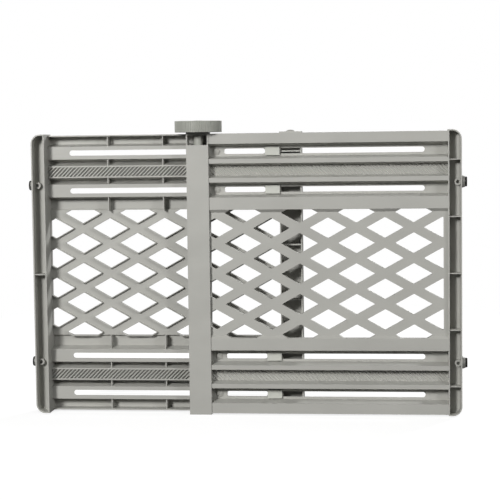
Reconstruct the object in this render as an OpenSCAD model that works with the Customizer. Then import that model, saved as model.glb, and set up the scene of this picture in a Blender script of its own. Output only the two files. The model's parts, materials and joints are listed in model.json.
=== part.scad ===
// Expanding pressure-mounted pet gate: two lattice panels that slide over each
// other, with a rack-and-pinion width adjuster turned by a knob on the front post.
// X runs across the doorway, Y from front to back, Z up. The origin is on the floor,
// at the middle of the gate's width, in line with the knob's axis from front to back.
// Pieces are drawn about the plane where the two panels meet, then set in that frame.

/* [Panels] */
// Length of one panel, post edge to outer wall
panel_len = 607; // [560:1:680]
// Height of the rails from the lowest to the highest
rail_span = 626; // [620:2:640]
// Depth of one panel
panel_depth = 32; // [28:1:36]
// How far the posts and end channels stand below the rails
foot_drop = 3; // [2:0.5:6]
// Length of overlap of the two panels as drawn
overlap = 254; // [240:2:290]
// Moulding wall thickness
wall = 2.8; // [2.4:0.1:3.2]
// Gap between the two panels where they slide
slide_gap = 0.6; // [0.4:0.1:1]

/* [Rails and recesses] */
// Height of the top and bottom rails
edge_rail = 23; // [20:1:26]
// Height of a slotted recess at the face
slot_recess = 33.5; // [32:0.5:36]
// Height of the thin rails beside a rack
thin_rail = 10; // [9.5:0.5:12]
// Height of a rack recess at the face
rack_recess = 32; // [30:1:34]
// Height of the rail next to the lattice
inner_rail = 27; // [24:1:30]
// Slope of a recess side, from face to floor
draft = 5.5; // [4:0.5:6]
// Length of a guide slot
slot_len = 446; // [430:2:450]
// Height of a guide slot
slot_h = 12; // [11:0.5:14]

/* [Lattice] */
// Distance between neighbouring columns of openings
col_pitch = 63; // [60:0.5:65]
// Distance between neighbouring rows of openings
row_pitch = 34; // [33:0.5:35]
// Width of one diamond opening
hole_w = 82; // [74:1:86]
// Height of one diamond opening
hole_h = 46; // [42:1:48]
// Corner radius of the openings
hole_r = 2; // [1.5:0.5:3]
// How far the lattice is set back from the face
lattice_set = 7; // [5:0.5:9]
// Thickness of the lattice
lattice_t = 4; // [3:0.5:5]
// Height of the rim around each opening, on the sliding side
rim_h = 6.5; // [4:0.5:8]

/* [Post and end channel] */
// Width of a post
post_w = 49.5; // [46:0.5:52]
// How far a post stands proud of the rails
post_proud = 2.5; // [1.5:0.5:3]
// Width of an end channel
channel_w = 30; // [28:1:34]
// Outer corner radius of an end channel
channel_r = 21; // [12:1:24]
// Spacing of the ribs in an end channel
channel_rib_pitch = 125.3; // [120:0.1:128]

/* [Adjuster] */
// Diameter of the knob
knob_d = 105; // [90:1:110]
// Height of the knob's grip
knob_h = 25; // [20:1:30]
// Number of grip ribs around the knob
knob_ribs = 80; // [60:2:96]
// Rack tooth spacing along the gate
rack_pitch = 8.9; // [8.5:0.1:9.3]
// Depth of a rack tooth
tooth_depth = 6; // [4:0.5:7]
// Number of teeth on a pinion
pinion_teeth = 9; // [9:1:9]
// Distance from the plane where the panels meet to the spindle's axis
spindle_back = 11.8; // [11.7:0.1:12]
// Face width of a pinion
pinion_h = 19; // [16:1:19]
// Diameter of the spindle
spindle_d = 12; // [10:0.5:13]

/* [Bumpers] */
// Height of each pair of bumpers above and below the middle
bumper_rise = 201; // [190:1:215]
// How far a bumper stands out from the end channel
bumper_out = 12; // [10:1:16]
// Thickness of the rubber pad
pad_t = 4.5; // [3:0.5:5]

/* [Hidden] */
// Round faces are drawn with this many sides
$fn = 64;
half_w = panel_len - overlap / 2;           // outer wall of the front panel
post_x0 = half_w - panel_len;               // front post, outer edge
post_x1 = post_x0 + post_w;                 // front post, edge at the rails
chan_x0 = half_w - channel_w;               // end channel, inner wall
gap = slide_gap / 2;
face_y = -panel_depth;
web_y = -gap - wall;                        // face side of the recess floors
z_low = foot_drop;                          // bottom of the lowest rail
z_top = z_low + rail_span;                  // top of the highest rail
z_mid = z_low + rail_span / 2;
chan_top = z_top + foot_drop;

// Bands from a panel's edge to its lattice, at the face
slot1_z = edge_rail;
rack_z = slot1_z + slot_recess + thin_rail;
slot2_z = rack_z + rack_recess + thin_rail;
rail_end_z = slot2_z + slot_recess + inner_rail;
slot1_mid = slot1_z + slot_recess / 2;
slot2_mid = slot2_z + slot_recess / 2;
rack_mid = rack_z + rack_recess / 2;
// Heights of the four guide slots and of the two racks
slot_zs = [z_low + slot1_mid, z_low + slot2_mid, z_top - slot2_mid, z_top - slot1_mid];
rack_zs = [z_low + rack_mid, z_top - rack_mid];

// Guide slots start where the panel's own guides end
slot_x0 = post_x1 + 31;
slot_x1 = slot_x0 + slot_len;
glide_len = 32.4;
glide_x = slot_x0 - glide_len / 2;          // middle of a guide, where its screw is
glide_head_t = 5;
glide_head_h = 18.6;

// Lattice
lattice_y0 = face_y + lattice_set;
lattice_y1 = lattice_y0 + lattice_t;
field_chamfer = 6;
field_z0 = rail_end_z + z_low;
field_z1 = z_top - rail_end_z;
clip_z0 = field_z0 + 0.5;                   // flat edge of the lowest half openings
clip_z1 = field_z1 - 0.5;
front_margin = 10;                          // plain strip between openings and end channel
rear_margin = 1;
first_col_x = chan_x0 - 12;
last_col = ceil((first_col_x - post_x1) / col_pitch);
rib_t = 2.2;
rib_back = 2.5;                             // how far the inner ribs stay below the edges
back_wave = 2.2;                            // height of the waves behind a rack's teeth

// Adjuster
pitch_r = pinion_teeth * rack_pitch / (2 * PI);
pinion_out = pitch_r + 1.5;
pinion_root = pitch_r - 1.35;
spindle_x = post_x0 + post_w / 2;
spindle_y = -spindle_back;
knob_gap = 3.5;                             // lets the rear channel pass below the knob
knob_z = z_top + knob_gap;
hub_d = 21;
hub_clear = 0.2;                            // around the knob's hub in the top flange
hub_bottom = z_top - 31;
window_h = 22;
window_w = 44;
flange_t = 6;
seat_z = z_top - 42;                        // shelf that carries the upper bush
shelf_t = 3;
bush_d = 17;
run_clear = 0.05;                           // around the spindle in its bushes

// Bumpers
bumper_zs = [z_mid - bumper_rise, z_mid + bumper_rise];
cup_d = 27;
pad_d = 21.5;
neck_d = 10;
eye_d = 15;
eye_bore = 7.6;
eye_t = 24;
eye_x = half_w - wall - 5.5;                // centre of a bumper's eye

GREY = [0.69, 0.685, 0.66];
KNOB_GREY = [0.60, 0.60, 0.575];
RUBBER = [0.17, 0.17, 0.165];
METAL = [0.66, 0.66, 0.66];
NYLON = [0.80, 0.80, 0.78];

// ---------- helpers ----------

// A box between two corners
module block(a, b) {
    translate(a) cube(b - a);
}

// Moves a piece from the plane where the panels meet to the gate's own frame
module set_in_frame() {
    translate([0, spindle_back, 0]) children();
}

// A prism along X whose YZ outline is given as [y, z] points
module x_prism(x0, x1, points) {
    translate([x0, 0, 0]) rotate([90, 0, 90]) linear_extrude(x1 - x0) polygon(points);
}

// The rear panel's pieces are the front panel's turned half round the Z axis
module to_rear() {
    rotate([0, 0, 180]) children();
}

// A shape drawn for the lower half, and its mirror image in the upper half
module both_halves() {
    children();
    translate([0, 0, 2 * z_mid]) mirror([0, 0, 1]) children();
}

// ---------- panel ----------

// Groove in the face between two rails, with sloping sides
module face_recess(z0, height) {
    flare = draft / (web_y - face_y);
    x_prism(post_x1, chan_x0, [
        [face_y - 1, z0 - flare], [web_y, z0 + draft],
        [web_y, z0 + height - draft], [face_y - 1, z0 + height + flare]
    ]);
}

// Hollow inside a rail, open to the sliding side; slopes are 1 where a recess adjoins
module rail_hollow(z0, height, slope_low, slope_high) {
    skin = wall * 1.05;
    x_prism(post_x1 + wall, chan_x0, [
        [face_y + wall, z0 + skin], [1, z0 + skin - slope_low * draft],
        [1, z0 + height - skin + slope_high * draft], [face_y + wall, z0 + height - skin]
    ]);
}

// Upright ribs that stiffen the rails' hollows
module rail_ribs(z0, z1) {
    for (col = [2 : 2 : last_col - 1])
        block([first_col_x - col * col_pitch - rib_t / 2, face_y + 1, z0],
              [first_col_x - col * col_pitch + rib_t / 2, -gap - rib_back, z1]);
}

// The solid bands of rails and recesses below the lattice, with their hollows
module rail_bands() {
    difference() {
        block([post_x1 - wall / 2, face_y, z_low], [chan_x0 + 1, -gap, field_z0 + field_chamfer]);
        face_recess(z_low + slot1_z, slot_recess);
        face_recess(z_low + rack_z, rack_recess);
        face_recess(z_low + slot2_z, slot_recess);
        // chamfer that leads down to the lattice
        x_prism(post_x1, chan_x0, [
            [face_y - 1, field_z0 - 1], [lattice_y0, field_z0 + lattice_set],
            [lattice_y0, field_z0 + 20], [face_y - 1, field_z0 + 20]
        ]);
        difference() {
            union() {
                rail_hollow(z_low, edge_rail, 0, 1);
                rail_hollow(z_low + slot1_z + slot_recess, thin_rail, 1, 1);
                rail_hollow(z_low + rack_z + rack_recess, thin_rail, 1, 1);
                inner_rail_hollow();
            }
            rail_ribs(z_low, field_z0 + 2);
        }
        // the rack is let into its recess floor
        block([post_x1, web_y - 1, z_low + rack_z + draft],
              [chan_x0, 1, z_low + rack_z + rack_recess - draft]);
    }
}

// Hollow of the rail next to the lattice: its lattice side is open above the chamfer
module inner_rail_hollow() {
    z0 = z_low + slot2_z + slot_recess;
    skin = wall * 1.05;
    x_prism(post_x1 + wall, chan_x0, [
        [face_y + wall, z0 + skin], [1, z0 + skin - draft], [1, field_z0 + 20],
        [lattice_y1, field_z0 + 20], [lattice_y1, field_z0 + lattice_set - 1],
        [face_y + wall, field_z0 - 2]
    ]);
}

// Toothed strip along a rack recess: a folded sheet whose teeth slant at 45 degrees
module rack(z) {
    height = rack_recess - 2 * draft + 2 * wall;
    fold = rack_pitch * cos(45);
    last = ceil((panel_len + height) * cos(45) / fold) + 1;
    crest_x = -spindle_x + rack_pitch / 2;
    tooth = [[-0.18, 0], [0.18, 0], [0.32, tooth_depth], [0.68, tooth_depth]];
    back = [[0.5, tooth_depth + wall], [0, tooth_depth + wall - back_wave]];
    top_pts = [for (i = [-last : last]) for (p = tooth) [(i + p[0]) * fold, -gap - p[1]]];
    low_pts = [for (i = [-last : last]) for (p = back) [(p[0] - i) * fold, -gap - p[1]]];
    intersection() {
        block([post_x1 - 1, -20, z - height / 2], [chan_x0 + 1, 20, z + height / 2]);
        translate([crest_x, 0, z])
            rotate([0, -45, 0])
                linear_extrude(2 * panel_len, center = true)
                    polygon(concat(top_pts, low_pts));
    }
}

// One guide slot through a recess floor
module guide_slot(z) {
    r = slot_h / 2;
    for (x = [slot_x0 + r, slot_x1 - r])
        translate([x, 1, z]) rotate([90, 0, 0]) cylinder(h = wall + 8, r = r);
    block([slot_x0 + r, -wall - 7, z - r], [slot_x1 - r, 1, z + r]);
}

// Outline of one diamond with rounded corners, grown by a margin
module diamond(margin) {
    grow = margin * norm([hole_w, hole_h]);
    half_x = hole_w / 2 + grow / hole_h;
    half_z = hole_h / 2 + grow / hole_w;
    cut = hole_r + margin;
    // small flats and an arc stand for the rounding of each tip
    side_tip = cut * 0.9;
    end_tip = cut * 0.45;
    polygon([
        [half_x - side_tip, -side_tip * half_z / half_x], [half_x - side_tip * 0.45, 0],
        [half_x - side_tip, side_tip * half_z / half_x],
        [end_tip * half_x / half_z, half_z - end_tip], [0, half_z - end_tip * 0.45],
        [-end_tip * half_x / half_z, half_z - end_tip],
        [-half_x + side_tip, side_tip * half_z / half_x], [-half_x + side_tip * 0.45, 0],
        [-half_x + side_tip, -side_tip * half_z / half_x],
        [-end_tip * half_x / half_z, -half_z + end_tip], [0, -half_z + end_tip * 0.45],
        [end_tip * half_x / half_z, -half_z + end_tip]
    ]);
}

// All the openings of a lattice as one flat drawing, in X and Z, grown by a margin;
// edge is the plain strip that is left beside the end channel
module opening_pattern(margin, edge) {
    intersection() {
        for (col = [0 : last_col])
            for (row = [-4 : 4])
                if ((row + col) % 2 != 0)
                    translate([first_col_x - col * col_pitch, z_mid + row * row_pitch])
                        diamond(margin);
        translate([post_x1 - margin, clip_z0 - margin])
            square([chan_x0 - edge - post_x1 + 2 * margin, clip_z1 - clip_z0 + 2 * margin]);
    }
}

// A flat drawing in X and Z made solid between two depths
module upright(y0, y1) {
    translate([0, y1, 0]) rotate([90, 0, 0]) linear_extrude(y1 - y0) children();
}

// The lattice's plate, with a low rim around each opening on the sliding side
module lattice(edge) {
    block([post_x1 - 2, lattice_y0, field_z0 + 1], [chan_x0 + 1, lattice_y1, field_z1 - 1]);
    intersection() {
        upright(lattice_y1 - 1, lattice_y1 + rim_h) opening_pattern(1.8, edge);
        block([post_x1 - 1, face_y, field_z0 - 3], [chan_x0 + 1, 0, field_z1 + 3]);
    }
}

// Post at the inner end of a panel, open to the sliding side, with shelves inside
module post() {
    y0 = face_y - post_proud;
    shelf_zs = [z_low + 150, z_mid - 62, z_mid + 62, z_top - 150];
    difference() {
        block([post_x0, y0, 0], [post_x1, -gap, chan_top]);
        difference() {
            block([post_x0 + wall, y0 + wall, wall + foot_drop], [post_x1 - wall, 1, chan_top - flange_t]);
            for (z = shelf_zs)
                block([post_x0, y0, z], [post_x1, -gap, z + shelf_t]);
            block([post_x0, y0, seat_z], [post_x1, -gap, seat_z + shelf_t]);
            // the bottom boss that carries the lower bush
            block([post_x0, y0, wall], [post_x1, -gap, 14]);
        }
        // window below the top flange
        block([spindle_x - window_w / 2, y0 - 1, chan_top - flange_t - window_h],
              [spindle_x + window_w / 2, y0 + wall + 1, chan_top - flange_t]);
        // bores for the knob's hub, the bushes and the spindle
        translate([spindle_x, spindle_y, 0]) {
            translate([0, 0, z_top - 10]) cylinder(h = 20, d = hub_d + 2 * hub_clear);
            translate([0, 0, seat_z - 1]) cylinder(h = shelf_t + 2, d = bush_d);
            translate([0, 0, 5]) cylinder(h = 20, d = bush_d);
            for (z = shelf_zs)
                translate([0, 0, z - 1]) cylinder(h = shelf_t + 2, d = spindle_d + 2);
        }
    }
}

// Outline of an end channel in X and Z, inset by a margin
module channel_outline(inset) {
    r = channel_r - inset;
    top = chan_top - inset;
    difference() {
        translate([chan_x0 + inset, inset]) square([channel_w - 2 * inset, chan_top - 2 * inset]);
        for (corner = [[half_w - inset - r, top - r, 0], [half_w - inset - r, inset + r, 1]])
            difference() {
                translate([corner[0], corner[1] - (corner[2] == 1 ? r + 1 : 0)]) square([r + 1, r + 1]);
                translate([corner[0], corner[1]]) circle(r = r);
            }
    }
}

// End channel: two pockets back to back with a web between, and a rounded outer wall
module end_channel() {
    module pocket(y_open, y_web) {
        y_a = min(y_open, y_web);
        y_b = max(y_open, y_web);
        intersection() {
            translate([0, y_b, 0]) rotate([90, 0, 0]) linear_extrude(y_b - y_a) channel_outline(wall);
            // rounded inner corner where the outer wall meets the web
            linear_extrude(chan_top) difference() {
                translate([chan_x0, y_a]) square([channel_w, y_b - y_a]);
                translate([half_w - wall, y_web]) pocket_fillet(y_open > y_web ? 1 : -1);
            }
        }
    }
    module pocket_fillet(side) {
        r = 9;
        difference() {
            translate([-r, side > 0 ? -1 : -r]) square([r + 1, r + 1]);
            translate([-r, side * r]) circle(r = r);
        }
    }
    difference() {
        translate([0, panel_depth, 0]) rotate([90, 0, 0])
            linear_extrude(2 * panel_depth) channel_outline(0);
        difference() {
            pocket(face_y - 1, -wall / 2);
            for (i = [-2 : 2])
                block([chan_x0, face_y + 2, z_mid + i * channel_rib_pitch - rib_t / 2],
                      [half_w, 0, z_mid + i * channel_rib_pitch + rib_t / 2]);
        }
        difference() {
            pocket(panel_depth + 1, wall / 2);
            block([chan_x0, 0, z_mid - rib_t / 2], [half_w, panel_depth - 2, z_mid + rib_t / 2]);
        }
        // a hole for each bumper's neck, and a bed for its eye
        for (z = bumper_zs) {
            translate([half_w - wall - 1, 0, z]) rotate([0, 90, 0]) cylinder(h = wall + 2, d = neck_d + 0.4);
            intersection() {
                translate([eye_x, eye_t / 2 + 0.5, z]) rotate([90, 0, 0])
                    cylinder(h = eye_t + 1, d = eye_d + 0.5);
                block([chan_x0, -eye_t, z - eye_d], [half_w - wall, eye_t, z + eye_d]);
            }
        }
    }
}

// One panel; edge is the plain strip between its openings and its end channel
module panel(edge) {
    difference() {
        union() {
            both_halves() rail_bands();
            for (z = rack_zs)
                rack(z);
            lattice(edge);
            post();
            end_channel();
        }
        upright(face_y - 1, 1) opening_pattern(0, edge);
        for (z = slot_zs) {
            guide_slot(z);
            translate([glide_x, 1, z]) rotate([90, 0, 0]) cylinder(h = wall + 4, d = 5.4);
        }
    }
}

module front_panel() {
    color(GREY) set_in_frame() panel(front_margin);
}

module rear_panel() {
    color(GREY) set_in_frame() to_rear() panel(rear_margin);
}

// ---------- guides ----------

// A guide screwed to its own panel: its neck runs in the other panel's slot and its
// head holds the two panels together
module guide(z) {
    neck_r = slot_h / 2 - 0.4;
    end_x = glide_len / 2 - neck_r;
    head_y = wall + 2 * gap + 0.3;
    translate([glide_x, 0, z]) difference() {
        union() {
            for (x = [-end_x, end_x])
                translate([x, head_y, 0]) rotate([90, 0, 0]) cylinder(h = head_y + gap, r = neck_r);
            block([-end_x, -gap, -neck_r], [end_x, head_y, neck_r]);
            block([-glide_len / 2, head_y, -glide_head_h / 2],
                  [glide_len / 2, head_y + glide_head_t, glide_head_h / 2]);
        }
        translate([0, head_y + 1, 0]) rotate([90, 0, 0]) cylinder(h = 20, d = 4);
    }
}

// Broad domed screws with a cross recess that hold the four guides of one panel
module guide_screws() {
    dome_h = 4.5;
    dome_r = 11;
    for (z = slot_zs)
        translate([glide_x, web_y, z]) rotate([90, 0, 0]) {
            difference() {
                intersection() {
                    cylinder(h = dome_h, d = 15);
                    translate([0, 0, dome_h - dome_r]) sphere(r = dome_r);
                }
                for (a = [0, 90])
                    rotate([0, 0, a]) block([-4, -0.9, dome_h - 2], [4, 0.9, dome_h + 1]);
            }
            translate([0, 0, -wall - 3.2]) cylinder(h = wall + 3.3, d = 4);
        }
}

module front_guide_1() { color(NYLON) set_in_frame() guide(slot_zs[0]); }
module front_guide_2() { color(NYLON) set_in_frame() guide(slot_zs[1]); }
module front_guide_3() { color(NYLON) set_in_frame() guide(slot_zs[2]); }
module front_guide_4() { color(NYLON) set_in_frame() guide(slot_zs[3]); }
module rear_guide_1() { color(NYLON) set_in_frame() to_rear() guide(slot_zs[0]); }
module rear_guide_2() { color(NYLON) set_in_frame() to_rear() guide(slot_zs[1]); }
module rear_guide_3() { color(NYLON) set_in_frame() to_rear() guide(slot_zs[2]); }
module rear_guide_4() { color(NYLON) set_in_frame() to_rear() guide(slot_zs[3]); }
module front_guide_screws() { color(GREY) set_in_frame() guide_screws(); }
module rear_guide_screws() { color(GREY) set_in_frame() to_rear() guide_screws(); }

// ---------- adjuster ----------

// Outline of the ribbed grip: flat-topped ribs with narrow grooves between them
module grip_outline(r) {
    step = 360 / knob_ribs;
    groove = 1.3;
    polygon([for (i = [0 : knob_ribs - 1])
        for (p = [[0, 0], [0.5, 0], [0.68, groove], [0.82, groove]])
            (r - p[1]) * [cos((i + p[0]) * step), sin((i + p[0]) * step)]]);
}

// Knob: a ribbed disc, hollow below, on a hub that runs down into the post
module knob() {
    skirt = 5;
    top_t = 3.5;
    cap_d = 34;
    color(KNOB_GREY) set_in_frame() translate([spindle_x, spindle_y, 0]) difference() {
        union() {
            difference() {
                translate([0, 0, knob_z]) linear_extrude(knob_h) grip_outline(knob_d / 2);
                translate([0, 0, knob_z - 1]) cylinder(h = knob_h - top_t + 1, d = knob_d - 2 * skirt);
            }
            translate([0, 0, hub_bottom]) cylinder(h = knob_z + knob_h - hub_bottom - 1, d = hub_d);
            for (a = [0 : 60 : 300])
                rotate([0, 0, a])
                    block([0, -1.2, knob_z + 3], [knob_d / 2 - skirt + 0.5, 1.2, knob_z + knob_h - 1]);
            translate([0, 0, knob_z + knob_h - 8]) cylinder(h = 7.5, d = cap_d + 5);
        }
        // socket for the spindle, hole for the screw and seat for the cap
        translate([0, 0, hub_bottom - 1]) cylinder(h = knob_z + knob_h - 12 - hub_bottom + 1, d = spindle_d);
        translate([0, 0, knob_z]) cylinder(h = knob_h, d = 4.6);
        translate([0, 0, knob_z + knob_h - 5]) cylinder(h = 6, d = 14);
        translate([0, 0, knob_z + knob_h - 2]) cylinder(h = 3, d = cap_d);
    }
}

// Domed cap that hides the knob's screw
module knob_cap() {
    rim_r = 16.8;
    crown = 1.1;
    rings = 8;
    color(KNOB_GREY) set_in_frame() translate([spindle_x, spindle_y, knob_z + knob_h - 2])
        rotate_extrude()
            polygon(concat([[0, 0], [rim_r, 0]],
                [for (i = [0 : rings]) [rim_r * cos(i * 90 / rings), 2 + crown * sin(i * 90 / rings)]]));
}

module knob_screw() {
    top = knob_z + knob_h - 5;
    color(METAL) set_in_frame() translate([spindle_x, spindle_y, top]) difference() {
        union() {
            cylinder(h = 2.6, d = 8.6);
            translate([0, 0, -24]) cylinder(h = 24.5, d = 4);
        }
        for (a = [0, 90])
            rotate([0, 0, a]) block([-2.6, -0.5, 1.2], [2.6, 0.5, 4]);
    }
}

// Spindle: a rod that joins the knob to both pinions
module spindle() {
    bottom = 6.2;
    top = knob_z + knob_h - 12;
    color(METAL) set_in_frame() translate([spindle_x, spindle_y, 0]) difference() {
        translate([0, 0, bottom]) cylinder(h = top - bottom, d = spindle_d);
        translate([0, 0, top - 20]) cylinder(h = 21, d = 4);
        // groove for the clip below the upper bush
        translate([0, 0, seat_z - 5]) difference() {
            cylinder(h = 1.2, d = spindle_d + 1);
            translate([0, 0, -1]) cylinder(h = 4, d = spindle_d - 2);
        }
    }
}

// Open ring that snaps into the spindle's groove
module spindle_clip() {
    color(METAL) set_in_frame() translate([spindle_x, spindle_y, seat_z - 4.9]) difference() {
        cylinder(h = 1, d = spindle_d + 5);
        translate([0, 0, -1]) cylinder(h = 3, d = spindle_d - 2);
        block([-3.5, 0, -1], [3.5, 20, 3]);
    }
}

// Pinion with slanted teeth that mesh with a rack at 45 degrees
module pinion(z) {
    twist = pinion_h / pitch_r * 180 / PI;
    step = 360 / pinion_teeth;
    flanks = [[-0.06, pinion_out], [0.06, pinion_out], [0.3, pinion_root], [0.7, pinion_root]];
    color(NYLON) set_in_frame() translate([spindle_x, spindle_y, z]) difference() {
        rotate([0, 0, 90 + twist / 2])
            linear_extrude(pinion_h, center = true, twist = twist, slices = 12)
                polygon([for (i = [0 : pinion_teeth - 1])
                    for (p = flanks)
                        p[1] * [cos((i + p[0]) * step), sin((i + p[0]) * step)]]);
        cylinder(h = pinion_h + 2, d = spindle_d, center = true);
    }
}

module upper_pinion() { pinion(rack_zs[1]); }
module lower_pinion() { pinion(rack_zs[0]); }

// Flanged bush that carries the spindle
module upper_bush() {
    color(NYLON) set_in_frame() translate([spindle_x, spindle_y, seat_z - 2]) difference() {
        union() {
            cylinder(h = shelf_t + 2, d = bush_d - 0.2);
            cylinder(h = 2, d = bush_d + 3);
        }
        translate([0, 0, -1]) cylinder(h = 20, d = spindle_d + 2 * run_clear);
    }
}

module lower_bush() {
    color(NYLON) set_in_frame() translate([spindle_x, spindle_y, 5]) difference() {
        union() {
            cylinder(h = 9, d = bush_d - 0.2);
            translate([0, 0, 9]) cylinder(h = 2, d = bush_d + 3);
        }
        translate([0, 0, 1]) cylinder(h = 20, d = spindle_d + 2 * run_clear);
    }
}

// Blanking cap in the rear post, where the front post has its knob
module post_cap() {
    dome_r = 17;
    color(GREY) set_in_frame() to_rear() translate([spindle_x, spindle_y, chan_top]) {
        intersection() {
            cylinder(h = 6, d = hub_d + 2);
            translate([0, 0, 4 - dome_r]) sphere(r = dome_r);
        }
        translate([0, 0, -flange_t - 3]) cylinder(h = flange_t + 3.2, d = hub_d + hub_clear);
    }
}

// ---------- bumpers ----------

// Tapered bumper body against the outer wall
module bumper(z) {
    depth = bumper_out - pad_t;
    translate([half_w, 0, z]) rotate([0, 90, 0]) difference() {
        rotate_extrude() polygon([
            [0, 0], [cup_d / 2, 0], [cup_d / 2, 2], [pad_d / 2 + 1.4, depth - 1],
            [pad_d / 2 + 1.4, depth], [0, depth]
        ]);
        translate([0, 0, -1]) cylinder(h = depth - 2, d = neck_d);
        translate([0, 0, depth - 1.5]) cylinder(h = 3, d = pad_d);
    }
}

// Rubber pad that grips the door frame
module pad(z) {
    depth = bumper_out - pad_t;
    translate([half_w + depth - 1.5, 0, z]) rotate([0, 90, 0])
        rotate_extrude() polygon([
            [0, 0], [pad_d / 2, 0], [pad_d / 2, pad_t + 0.9], [pad_d / 2 - 0.6, pad_t + 1.5], [0, pad_t + 1.5]
        ]);
}

// Eye that holds a bumper from inside the channel, with the neck it snaps on by
module eye(z) {
    neck_end = half_w + bumper_out - pad_t - 3;
    core_t = 3;                             // solid middle between the two blind bores
    difference() {
        union() {
            difference() {
                translate([eye_x, eye_t / 2, z]) rotate([90, 0, 0]) cylinder(h = eye_t, d = eye_d);
                // flat that rests on the wall
                block([half_w - wall, -eye_t, z - eye_d], [half_w + eye_d, eye_t, z + eye_d]);
            }
            translate([eye_x + 2, 0, z]) rotate([0, 90, 0]) cylinder(h = neck_end - eye_x - 2, d = neck_d);
        }
        for (y = [-eye_t - core_t / 2, core_t / 2])
            translate([eye_x, y + eye_t, z]) rotate([90, 0, 0]) cylinder(h = eye_t, d = eye_bore);
    }
}

module right_lower_bumper() { color(GREY) set_in_frame() bumper(bumper_zs[0]); }
module right_upper_bumper() { color(GREY) set_in_frame() bumper(bumper_zs[1]); }
module left_lower_bumper() { color(GREY) set_in_frame() to_rear() bumper(bumper_zs[0]); }
module left_upper_bumper() { color(GREY) set_in_frame() to_rear() bumper(bumper_zs[1]); }
module right_lower_pad() { color(RUBBER) set_in_frame() pad(bumper_zs[0]); }
module right_upper_pad() { color(RUBBER) set_in_frame() pad(bumper_zs[1]); }
module left_lower_pad() { color(RUBBER) set_in_frame() to_rear() pad(bumper_zs[0]); }
module left_upper_pad() { color(RUBBER) set_in_frame() to_rear() pad(bumper_zs[1]); }
module right_lower_eye() { color(GREY) set_in_frame() eye(bumper_zs[0]); }
module right_upper_eye() { color(GREY) set_in_frame() eye(bumper_zs[1]); }
module left_lower_eye() { color(GREY) set_in_frame() to_rear() eye(bumper_zs[0]); }
module left_upper_eye() { color(GREY) set_in_frame() to_rear() eye(bumper_zs[1]); }

front_panel();
rear_panel();
front_guide_1();
front_guide_2();
front_guide_3();
front_guide_4();
rear_guide_1();
rear_guide_2();
rear_guide_3();
rear_guide_4();
front_guide_screws();
rear_guide_screws();
knob();
knob_cap();
knob_screw();
spindle();
spindle_clip();
upper_pinion();
lower_pinion();
upper_bush();
lower_bush();
post_cap();
right_lower_bumper();
right_upper_bumper();
left_lower_bumper();
left_upper_bumper();
right_lower_pad();
right_upper_pad();
left_lower_pad();
left_upper_pad();
right_lower_eye();
right_upper_eye();
left_lower_eye();
left_upper_eye();
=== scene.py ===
"""Looks for an expanding pet gate: two lattice panels in satin moulded plastic."""

import json
import math

import bpy
from mathutils import Matrix, Vector


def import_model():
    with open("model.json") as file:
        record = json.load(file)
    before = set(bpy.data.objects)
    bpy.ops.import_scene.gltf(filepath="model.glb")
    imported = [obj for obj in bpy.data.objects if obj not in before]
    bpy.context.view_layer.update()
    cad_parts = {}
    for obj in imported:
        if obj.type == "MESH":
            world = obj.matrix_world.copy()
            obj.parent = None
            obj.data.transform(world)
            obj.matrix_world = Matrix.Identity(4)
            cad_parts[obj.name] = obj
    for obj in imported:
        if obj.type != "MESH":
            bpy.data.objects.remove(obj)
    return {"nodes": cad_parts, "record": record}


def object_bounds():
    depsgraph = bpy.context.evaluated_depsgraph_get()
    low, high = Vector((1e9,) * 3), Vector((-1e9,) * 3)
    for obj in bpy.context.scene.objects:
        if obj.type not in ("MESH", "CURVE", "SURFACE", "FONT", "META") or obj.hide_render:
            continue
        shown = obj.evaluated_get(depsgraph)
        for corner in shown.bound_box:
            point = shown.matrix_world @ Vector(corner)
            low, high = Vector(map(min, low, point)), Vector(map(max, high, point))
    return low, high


# sRGB colours of the mouldings as they look in plain daylight; the guide and knob greys are also
# lightened as painted light
PANEL_GREY = (0.690, 0.688, 0.666)
# Guide grey: the guides' own pale plastic, lightened further as a painted highlight so the
# raised heads stand brighter than the shaded recess floor
GUIDE_GREY = (0.775, 0.780, 0.750)
# Knob grey: the knob's own plastic, lightened as painted light to offset the shade that falls in
# its ribbed grooves
KNOB_GREY = (0.655, 0.660, 0.630)
PAD_DARK = (0.130, 0.128, 0.122)
STEEL = (0.62, 0.62, 0.61)

# Edge radii asked for, in metres, and the least angle in degrees of an edge that gets one.
# Blender narrows them where vertices lie close: the panels' come out near 0.04 mm.
PANEL_EDGE = 0.0005
FITTING_EDGE = 0.0004
EDGE_ANGLE = 38.0

# Camera: place from the middle of the gate's box, turns in radians, lens in millimetres
CAMERA_PLACE = (0.375, -3.332, 0.277)
CAMERA_YAW, CAMERA_PITCH, CAMERA_ROLL = -0.1089, 0.0708, 0.0122
CAMERA_LENS = 108.2


def linear(colour):
    """An sRGB colour as the linear RGBA that shader sockets take."""
    return [c / 12.92 if c <= 0.04045 else ((c + 0.055) / 1.055) ** 2.4 for c in colour] + [1.0]


def shade(colour, factor):
    """A lighter or darker version of a colour."""
    return tuple(min(1.0, c * factor) for c in colour)


# ---------- materials ----------

def new_material(name):
    material = bpy.data.materials.new(name)
    material.use_nodes = True
    tree = material.node_tree
    return material, tree, tree.nodes["Principled BSDF"]


def noise(tree, coords, scale, detail=3.0, roughness=0.5, stretch=(1, 1, 1)):
    """Noise in the piece's own metres, stretched where a moulding's flow is."""
    mapping = tree.nodes.new("ShaderNodeMapping")
    mapping.inputs["Scale"].default_value = stretch
    tree.links.new(coords, mapping.inputs["Vector"])
    texture = tree.nodes.new("ShaderNodeTexNoise")
    texture.inputs["Scale"].default_value = scale
    texture.inputs["Detail"].default_value = detail
    texture.inputs["Roughness"].default_value = roughness
    tree.links.new(mapping.outputs["Vector"], texture.inputs["Vector"])
    return texture.outputs["Fac"]


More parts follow.
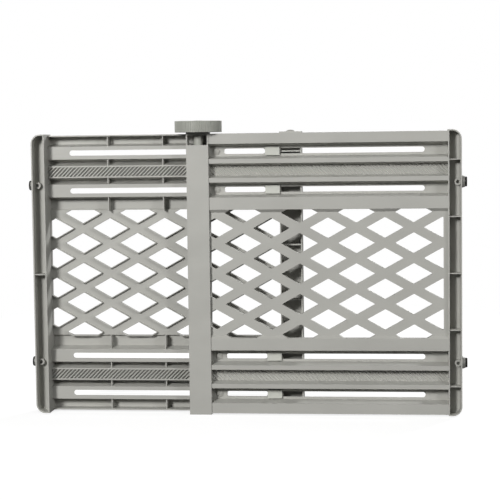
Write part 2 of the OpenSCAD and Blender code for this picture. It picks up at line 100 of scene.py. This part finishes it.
def remap(tree, value, low, high, start=0.3, end=0.7):
    """The part of a value from start to end, spread from low to high."""
    node = tree.nodes.new("ShaderNodeMapRange")
    node.inputs["From Min"].default_value = start
    node.inputs["From Max"].default_value = end
    node.inputs["To Min"].default_value = low
    node.inputs["To Max"].default_value = high
    tree.links.new(value, node.inputs["Value"])
    return node.outputs["Result"]


def blend_colours(tree, factor, first, second):
    """A mix of two colours, each a constant or another node's output."""
    node = tree.nodes.new("ShaderNodeMix")
    node.data_type = "RGBA"
    tree.links.new(factor, node.inputs["Factor"])
    for socket, colour in ((node.inputs[6], first), (node.inputs[7], second)):
        if hasattr(colour, "is_output"):
            tree.links.new(colour, socket)
        else:
            socket.default_value = colour
    return node.outputs[2]


def bumps(tree, shader, layers):
    """Stacked bump layers, each (height, depth in metres)."""
    last = None
    for height, depth in layers:
        node = tree.nodes.new("ShaderNodeBump")
        node.inputs["Strength"].default_value = 1.0
        node.inputs["Distance"].default_value = depth
        tree.links.new(height, node.inputs["Height"])
        if last is not None:
            tree.links.new(last, node.inputs["Normal"])
        last = node.outputs["Normal"]
    tree.links.new(last, shader.inputs["Normal"])


def moulded_plastic(name, colour, gloss=0.42, grain=0.00006):
    """Satin injection-moulded plastic: fine spark-eroded grain, faint flow and scuffs."""
    material, tree, shader = new_material(name)
    coords = tree.nodes.new("ShaderNodeTexCoord").outputs["Object"]
    flow = noise(tree, coords, 5.0, 4.0, 0.6, (1.0, 1.0, 2.2))
    speck = noise(tree, coords, 620.0, 2.0, 0.6)
    fine = noise(tree, coords, 1500.0, 2.0, 0.5)
    waves = noise(tree, coords, 26.0, 2.0, 0.4)
    tone = blend_colours(tree, remap(tree, flow, 0.0, 1.0), linear(shade(colour, 0.975)),
                         linear(shade(colour, 1.02)))
    tone = blend_colours(tree, remap(tree, speck, 0.0, 0.16, 0.55, 0.75), tone,
                         linear(shade(colour, 0.86)))
    tree.links.new(tone, shader.inputs["Base Color"])
    tree.links.new(remap(tree, waves, gloss - 0.05, gloss + 0.07), shader.inputs["Roughness"])
    shader.inputs["IOR"].default_value = 1.48
    bumps(tree, shader, [(waves, 0.00035), (speck, grain), (fine, grain * 0.5)])
    return material


def rubber(name, colour):
    """Dull rubber with a dusty bloom."""
    material, tree, shader = new_material(name)
    coords = tree.nodes.new("ShaderNodeTexCoord").outputs["Object"]
    bloom = noise(tree, coords, 90.0, 4.0, 0.6)
    grain = noise(tree, coords, 900.0, 2.0, 0.5)
    tone = blend_colours(tree, remap(tree, bloom, 0.0, 1.0), linear(colour),
                         linear(shade(colour, 1.5)))
    tree.links.new(tone, shader.inputs["Base Color"])
    tree.links.new(remap(tree, bloom, 0.62, 0.82), shader.inputs["Roughness"])
    bumps(tree, shader, [(grain, 0.00012)])
    return material


def drawn_steel(name, colour):
    """Plain drawn bar: streaks along its length."""
    material, tree, shader = new_material(name)
    coords = tree.nodes.new("ShaderNodeTexCoord").outputs["Object"]
    streak = noise(tree, coords, 900.0, 3.0, 0.6, (1.0, 1.0, 0.03))
    tone = blend_colours(tree, remap(tree, streak, 0.0, 1.0), linear(shade(colour, 0.85)),
                         linear(colour))
    tree.links.new(tone, shader.inputs["Base Color"])
    shader.inputs["Metallic"].default_value = 1.0
    tree.links.new(remap(tree, streak, 0.28, 0.42), shader.inputs["Roughness"])
    bumps(tree, shader, [(streak, 0.00003)])
    return material


# ---------- pieces ----------

def dress(node, material):
    """Gives a piece one material."""
    node.data.materials.clear()
    node.data.materials.append(material)


def soften(node, width):
    """Rounds a moulding's edges by up to width, as far as close vertices let it."""
    weld = node.modifiers.new("weld", "WELD")
    weld.merge_threshold = 0.00001
    edge = node.modifiers.new("edges", "BEVEL")
    edge.width = width
    edge.segments = 2
    edge.limit_method = "ANGLE"
    edge.angle_limit = math.radians(EDGE_ANGLE)
    edge.use_clamp_overlap = True
    edge.harden_normals = True
    normals = node.modifiers.new("normals", "WEIGHTED_NORMAL")
    normals.keep_sharp = True


# ---------- stage ----------

def camera(centre):
    """Long lens, a little to the right and above, with a slight tilt."""
    yaw, pitch, roll = CAMERA_YAW, CAMERA_PITCH, CAMERA_ROLL
    data = bpy.data.cameras.new("camera")
    data.sensor_width = 36.0
    data.lens = CAMERA_LENS
    data.clip_end = 50.0
    ahead = Vector((math.sin(yaw) * math.cos(pitch), math.cos(yaw) * math.cos(pitch),
                    -math.sin(pitch)))
    level = Vector((math.cos(yaw), -math.sin(yaw), 0.0))
    over = level.cross(ahead)
    right = level * math.cos(roll) - over * math.sin(roll)
    up = level * math.sin(roll) + over * math.cos(roll)
    made = bpy.data.objects.new("camera", data)
    bpy.context.scene.collection.objects.link(made)
    turn = Matrix((right, up, -ahead)).transposed().to_4x4()
    made.matrix_world = Matrix.Translation(centre + Vector(CAMERA_PLACE)) @ turn
    bpy.context.scene.camera = made


def softbox(name, place, target, size, watts, colour=(1, 1, 1)):
    """Round area light that faces a target."""
    data = bpy.data.lights.new(name, "AREA")
    data.shape = "DISK"
    data.size = size
    data.energy = watts
    data.color = colour
    made = bpy.data.objects.new(name, data)
    bpy.context.scene.collection.objects.link(made)
    made.location = place
    made.rotation_mode = "QUATERNION"
    made.rotation_quaternion = (target - Vector(place)).to_track_quat("-Z", "Y")


def lights(centre):
    """Key from the front left, weak fill from the right, and a light for the back."""
    softbox("key", (-1.9, -4.5, 2.1), centre, 1.1, 204.0, (1.0, 0.995, 0.985))
    softbox("fill", (3.6, -3.4, 1.9), centre, 1.0, 62.0)
    softbox("back", (2.6, 4.6, 2.9), centre, 1.6, 260.0)


def world():
    """Plain white studio, dimmer from below than from above."""
    made = bpy.data.worlds.new("studio")
    bpy.context.scene.world = made
    made.use_nodes = True
    tree = made.node_tree
    tree.nodes.clear()
    coords = tree.nodes.new("ShaderNodeTexCoord")
    parts = tree.nodes.new("ShaderNodeSeparateXYZ")
    tree.links.new(coords.outputs["Generated"], parts.inputs["Vector"])
    level = remap(tree, parts.outputs["Z"], 0.05, 0.24, -0.4, 0.8)
    paths = tree.nodes.new("ShaderNodeLightPath")
    strength = tree.nodes.new("ShaderNodeMix")
    tree.links.new(paths.outputs["Is Camera Ray"], strength.inputs["Factor"])
    tree.links.new(level, strength.inputs["A"])
    strength.inputs["B"].default_value = 1.0
    sky = tree.nodes.new("ShaderNodeBackground")
    sky.inputs["Color"].default_value = (1, 1, 1, 1)
    tree.links.new(strength.outputs["Result"], sky.inputs["Strength"])
    out = tree.nodes.new("ShaderNodeOutputWorld")
    tree.links.new(sky.outputs["Background"], out.inputs["Surface"])


def floor():
    """Pale floor that runs out into the white of the studio."""
    rings, sides, reach = 24, 64, 7.0
    points = [(0.0, 0.0, 0.0)]
    faces = []
    for ring in range(1, rings + 1):
        radius = reach * (ring / rings) ** 2
        for side in range(sides):
            angle = 2 * math.pi * side / sides
            points.append((radius * math.cos(angle), radius * math.sin(angle), 0.0))
    for side in range(sides):
        after = (side + 1) % sides
        faces.append((0, 1 + side, 1 + after))
        for ring in range(rings - 1):
            low, high = 1 + ring * sides, 1 + (ring + 1) * sides
            faces.append((low + side, high + side, high + after, low + after))
    mesh = bpy.data.meshes.new("floor")
    mesh.from_pydata(points, [], faces)
    made = bpy.data.objects.new("floor", mesh)
    bpy.context.scene.collection.objects.link(made)
    made.location.z = -0.0005
    material, tree, shader = new_material("floor")
    coords = tree.nodes.new("ShaderNodeTexCoord").outputs["Object"]
    distance = tree.nodes.new("ShaderNodeVectorMath")
    distance.operation = "LENGTH"
    tree.links.new(coords, distance.inputs[0])
    shader.inputs["Base Color"].default_value = (0.35, 0.35, 0.35, 1)
    shader.inputs["Roughness"].default_value = 0.9
    shader.inputs["Specular IOR Level"].default_value = 0.0
    shader.inputs["Emission Color"].default_value = (1, 1, 1, 1)
    shader.inputs["Emission Strength"].default_value = 0.78
    glow = tree.nodes.new("ShaderNodeEmission")
    mix = tree.nodes.new("ShaderNodeMixShader")
    tree.links.new(remap(tree, distance.outputs["Value"], 0.0, 1.0, 0.7, 2.2), mix.inputs["Fac"])
    tree.links.new(shader.outputs["BSDF"], mix.inputs[1])
    tree.links.new(glow.outputs["Emission"], mix.inputs[2])
    tree.links.new(mix.outputs["Shader"], tree.nodes["Material Output"].inputs["Surface"])
    dress(made, material)
    made.visible_diffuse = False
    made.visible_glossy = False


def main():
    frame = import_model()
    cad_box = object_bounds()
    nodes = frame["nodes"]
    slots = {p["node"]: p["material_slot"] for p in frame["record"]["subparts"]}
    finishes = {
        "panel_plastic": moulded_plastic("panel_plastic", PANEL_GREY),
        "guide_plastic": moulded_plastic("guide_plastic", GUIDE_GREY, 0.36, 0.00003),
        "knob_plastic": moulded_plastic("knob_plastic", KNOB_GREY, 0.46, 0.00008),
        "pad_rubber": rubber("pad_rubber", PAD_DARK),
        "steel": drawn_steel("steel", STEEL),
    }
    for name, node in nodes.items():
        dress(node, finishes[slots[name]])
    for name in nodes:
        if name.endswith("_panel"):
            soften(nodes[name], PANEL_EDGE)
        elif "guide" in name or "bumper" in name or "pad" in name:
            soften(nodes[name], FITTING_EDGE)
    centre = (cad_box[0] + cad_box[1]) / 2
    camera(centre)
    lights(centre)
    world()
    floor()
    bpy.context.scene.view_settings.view_transform = "Standard"


main()
